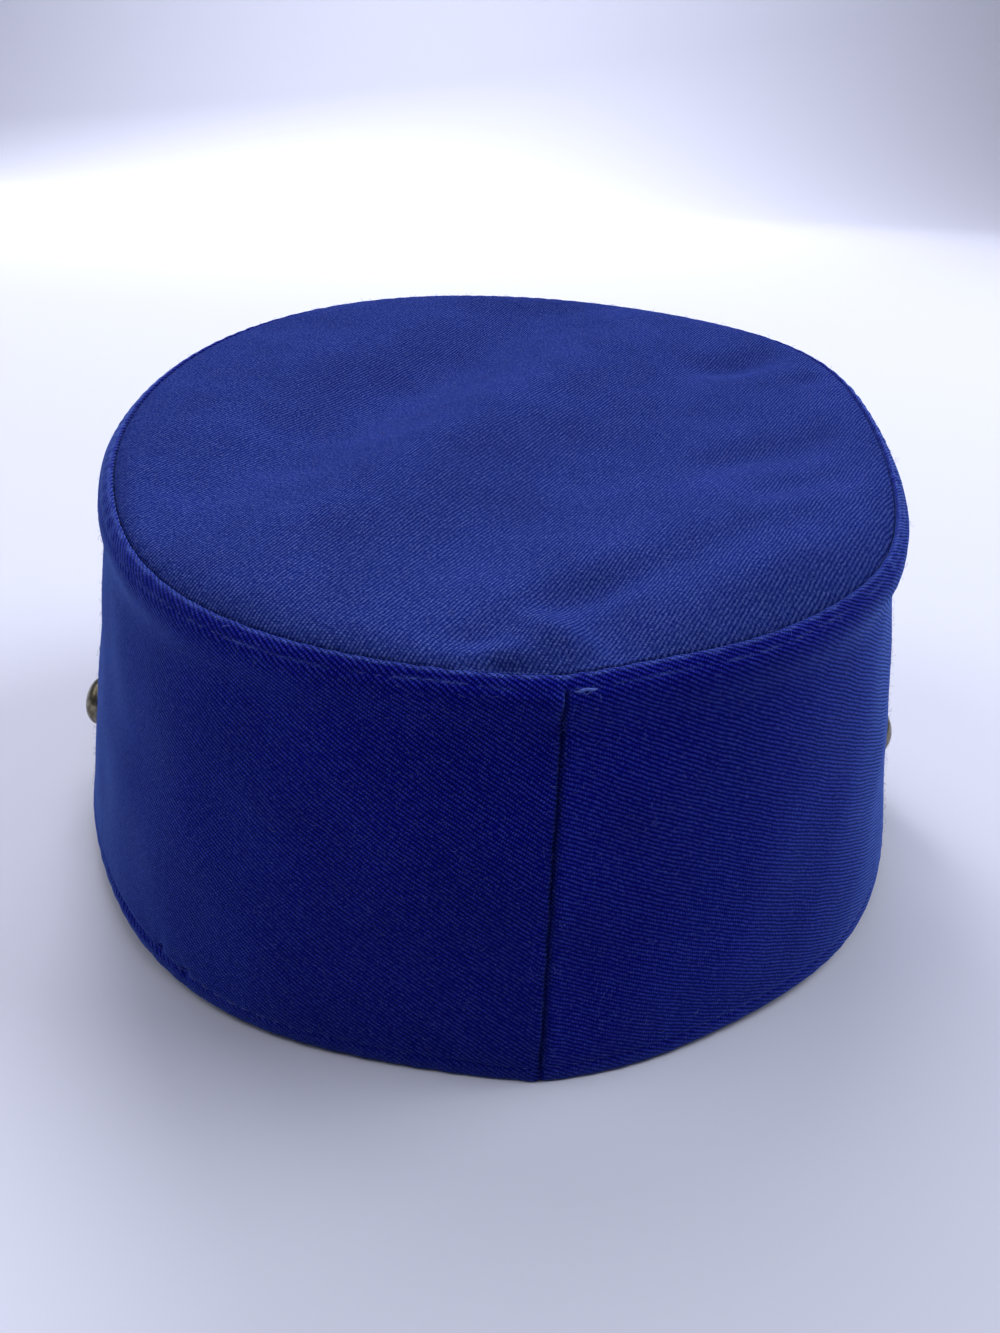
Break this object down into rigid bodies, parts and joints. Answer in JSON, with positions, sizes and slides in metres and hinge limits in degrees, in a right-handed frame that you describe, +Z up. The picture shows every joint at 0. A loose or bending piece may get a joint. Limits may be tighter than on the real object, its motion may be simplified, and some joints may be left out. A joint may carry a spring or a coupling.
{
  "type": "conductor hat",
  "caption": "Soft pillbox cap with a conical twill crown, a flat sewn-in top, a short stiff peak and a front strap held by two domed buttons.",
  "frame": {"origin": "bottom centre of the box round the resting hat, on the surface that it rests on", "axes": "+Z up, -Y towards the peak, +Y towards the back seam, +X towards the left button as seen from behind"},
  "size_m": [0.194, 0.2414, 0.1032],
  "materials": {
    "twill_band": "royal blue cotton-polyester twill, matt, faint nap",
    "twill_top": "royal blue cotton-polyester twill, matt, faint nap",
    "peak_vinyl": "black patent vinyl",
    "strap_vinyl": "black patent vinyl",
    "button_metal": "plain domed antique brass"
  },
  "bodies": {
    "root": {"crown_side": "twill_band", "crown_top": "twill_top", "peak": "peak_vinyl", "front_strap": "strap_vinyl", "button_left": "button_metal", "button_right": "button_metal"}
  },
  "joints": []
}
